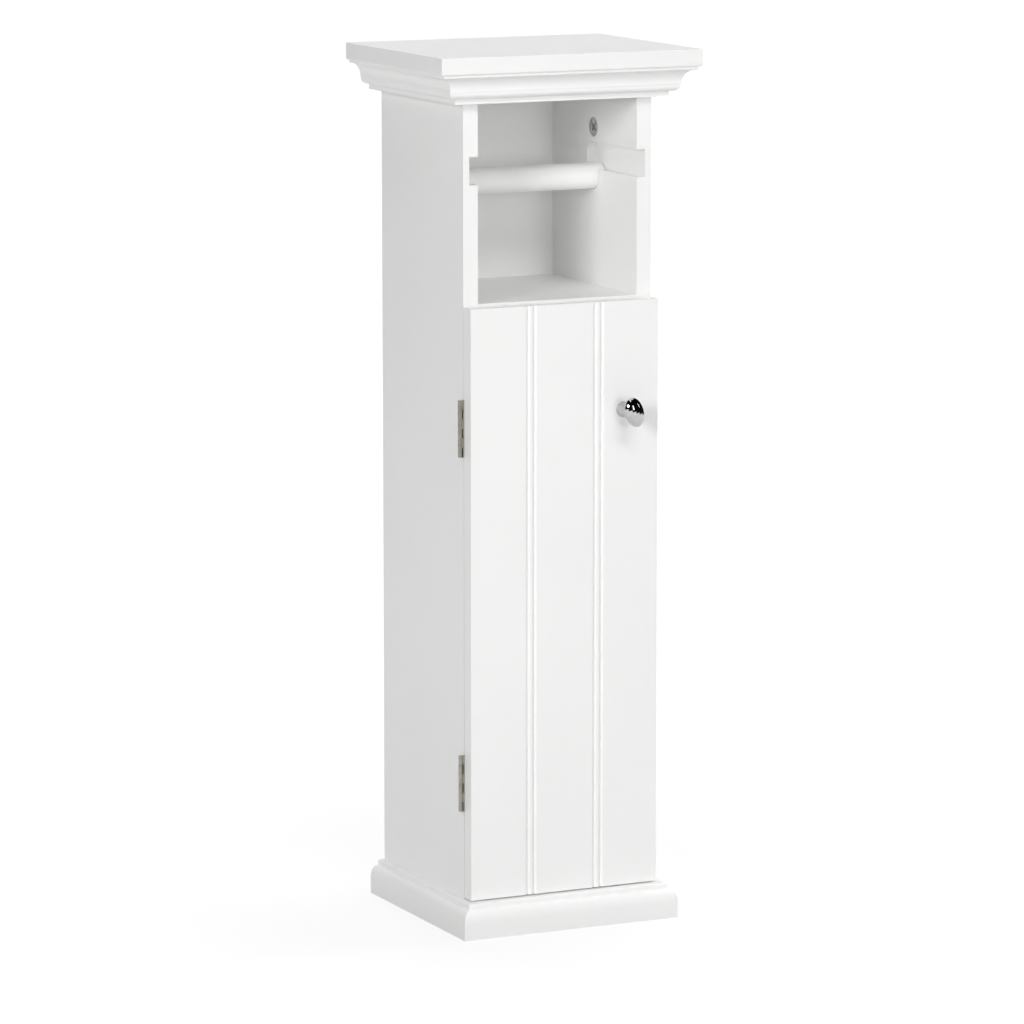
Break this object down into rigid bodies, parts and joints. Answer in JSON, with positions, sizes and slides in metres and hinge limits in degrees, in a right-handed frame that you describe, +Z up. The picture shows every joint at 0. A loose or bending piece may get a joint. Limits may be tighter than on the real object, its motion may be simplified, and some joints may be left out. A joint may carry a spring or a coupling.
{
  "type": "toilet roll storage cabinet",
  "caption": "Slim white bathroom cabinet for toilet rolls: open bay with a lift-out roll bar above a cupboard with a beaded door, under a moulded crown.",
  "frame": {"origin": "on the floor, at the middle of the back face", "axes": "+X to the right seen from the front, +Y to the back (the wall), +Z up; the door faces -Y"},
  "size_m": [0.215, 0.1848, 0.665],
  "materials": {
    "white_paint": "fibreboard in satin white paint",
    "satin_nickel": "satin nickel plate",
    "chrome": "polished chrome plate",
    "zinc_plate": "zinc plated steel and die-cast zinc",
    "beech": "bare beech",
    "catch_plastic": "moulded white plastic",
    "magnet": "ground ferrite"
  },
  "bodies": {
    "cabinet": {"top_board": "white_paint", "inner_top": "white_paint", "crown_front": "white_paint", "crown_left": "white_paint", "crown_right": "white_paint", "side_panel_left": "white_paint", "side_panel_right": "white_paint", "back_panel": "white_paint", "bay_floor": "white_paint", "base_board": "white_paint", "plinth_front": "white_paint", "plinth_left": "white_paint", "plinth_right": "white_paint", "plinth_rear_rail": "white_paint", "hinge_upper_case_leaf": "satin_nickel", "hinge_upper_pin": "satin_nickel", "hinge_lower_case_leaf": "satin_nickel", "hinge_lower_pin": "satin_nickel", "hinge_case_screws": "satin_nickel", "catch_housing": "catch_plastic", "catch_magnet": "magnet", "catch_pole_plates": "zinc_plate", "catch_screws": "zinc_plate", "cams_top": "zinc_plate", "cams_floor": "zinc_plate", "cams_base": "zinc_plate", "cam_bolts_top": "zinc_plate", "cam_bolts_floor": "zinc_plate", "cam_bolts_base": "zinc_plate", "dowels_top": "beech", "dowels_floor": "beech", "dowels_base": "beech", "top_board_screws": "zinc_plate", "back_panel_nails": "zinc_plate"},
    "door": {"door_panel": "white_paint", "hinge_upper_door_leaf": "satin_nickel", "hinge_lower_door_leaf": "satin_nickel", "hinge_door_screws": "satin_nickel", "knob": "chrome", "knob_screw": "zinc_plate", "strike_plate": "zinc_plate", "strike_screw": "zinc_plate"},
    "bar": {"roll_bar": "white_paint"}
  },
  "joints": [
    {"name": "door_hinge", "type": "hinge", "parent": "cabinet", "child": "door", "pos_m": [-0.0811, -0.1485, 0.252], "axis": [0, 0, -1], "range_deg": [0, 200]},
    {"name": "bar_lift", "type": "slide", "parent": "cabinet", "child": "bar", "axis": [0, 0, 1], "range_m": [0, 0.0157]}
  ]
}
